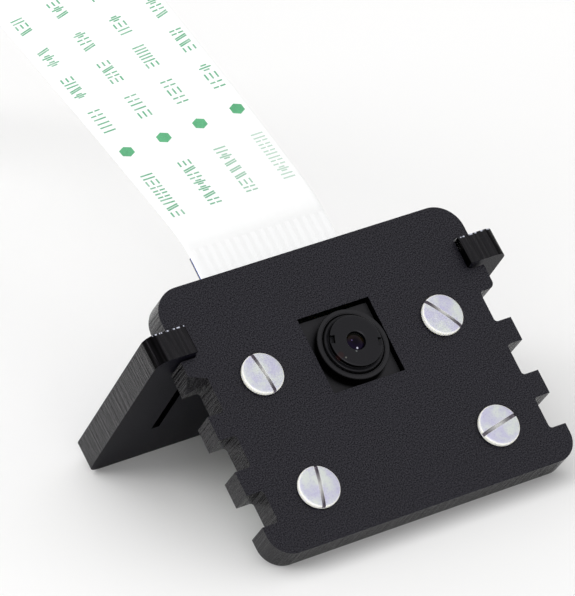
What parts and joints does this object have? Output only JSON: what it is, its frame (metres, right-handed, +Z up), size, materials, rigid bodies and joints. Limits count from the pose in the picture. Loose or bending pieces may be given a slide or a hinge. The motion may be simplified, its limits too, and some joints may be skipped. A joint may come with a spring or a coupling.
{
  "type": "camera board tilt stand",
  "caption": "Clip-together desk stand: a notched front plate leans on a rear leg and carries a small camera board with a flat ribbon cable.",
  "frame": {"origin": "middle of the stand's footprint on the surface it stands on, without the free ribbon", "axes": "X across the plate from the viewer's left to right, +Y to the rear where the leg and the ribbon go, +Z up; the front plate leans back over +Y and the lens looks towards -Y and up"},
  "size_m": [0.0408, 0.1522, 0.0385],
  "materials": {
    "black_sheet": "fine-grained black sheet with lighter laser-cut edges",
    "black_sheet_leg": "fine-grained black sheet with lighter laser-cut edges",
    "nylon": "translucent natural nylon",
    "board_green": "green solder mask",
    "foam_pad": "black foam tape",
    "flex_amber": "amber flexible circuit",
    "sensor_die": "polished silicon",
    "filter_glass": "coated filter glass",
    "module_black": "moulded black plastic",
    "barrel_black": "semi-gloss moulded black plastic",
    "lens_glass": "coated lens glass",
    "connector_cream": "moulded cream plastic",
    "gold_contact": "gold-flashed contact",
    "tinned_steel": "tinned metal",
    "latch_brown": "moulded dark plastic",
    "chip_black": "moulded chip package",
    "capacitor_tan": "fired ceramic",
    "led_white": "clear-topped lamp package",
    "ribbon_white": "white laminated film",
    "stiffener_blue": "blue film"
  },
  "bodies": {
    "stand": {"front_plate": "black_sheet", "nylon_screws": "nylon", "nylon_washers": "nylon", "nylon_nuts": "nylon", "camera_board": "board_green", "module_pad": "foam_pad", "sensor_substrate": "flex_amber", "image_sensor": "sensor_die", "ir_filter": "filter_glass", "module_housing": "module_black", "lens_holder": "module_black", "module_flex": "flex_amber", "flex_connector": "module_black", "ribbon_connector": "connector_cream", "connector_contacts": "gold_contact", "connector_tabs": "tinned_steel", "regulators": "chip_black", "capacitors": "capacitor_tan", "resistors": "chip_black", "crystal": "tinned_steel", "status_led": "led_white", "ribbon_cable": "ribbon_white", "near_stiffener": "stiffener_blue", "near_contacts": "gold_contact", "far_stiffener": "stiffener_blue", "far_contacts": "gold_contact"},
    "leg": {"rear_leg": "black_sheet_leg"},
    "barrel": {"lens_barrel": "barrel_black", "lens_elements": "lens_glass", "lens_spacers": "module_black"},
    "latch": {"connector_latch": "latch_brown"}
  },
  "joints": [
    {"name": "leg_pull_out", "type": "slide", "parent": "stand", "child": "leg", "axis": [0, 0.6572, -0.7537], "range_m": [0, 0.006]},
    {"name": "lens_focus", "type": "hinge", "parent": "stand", "child": "barrel", "pos_m": [0, -0.00356, 0.0144], "axis": [0, -0.6844, 0.7291], "range_deg": [-180, 180]},
    {"name": "latch_slide", "type": "slide", "parent": "stand", "child": "latch", "axis": [0, 0.7291, 0.6844], "range_m": [0, 0.0009]}
  ]
}
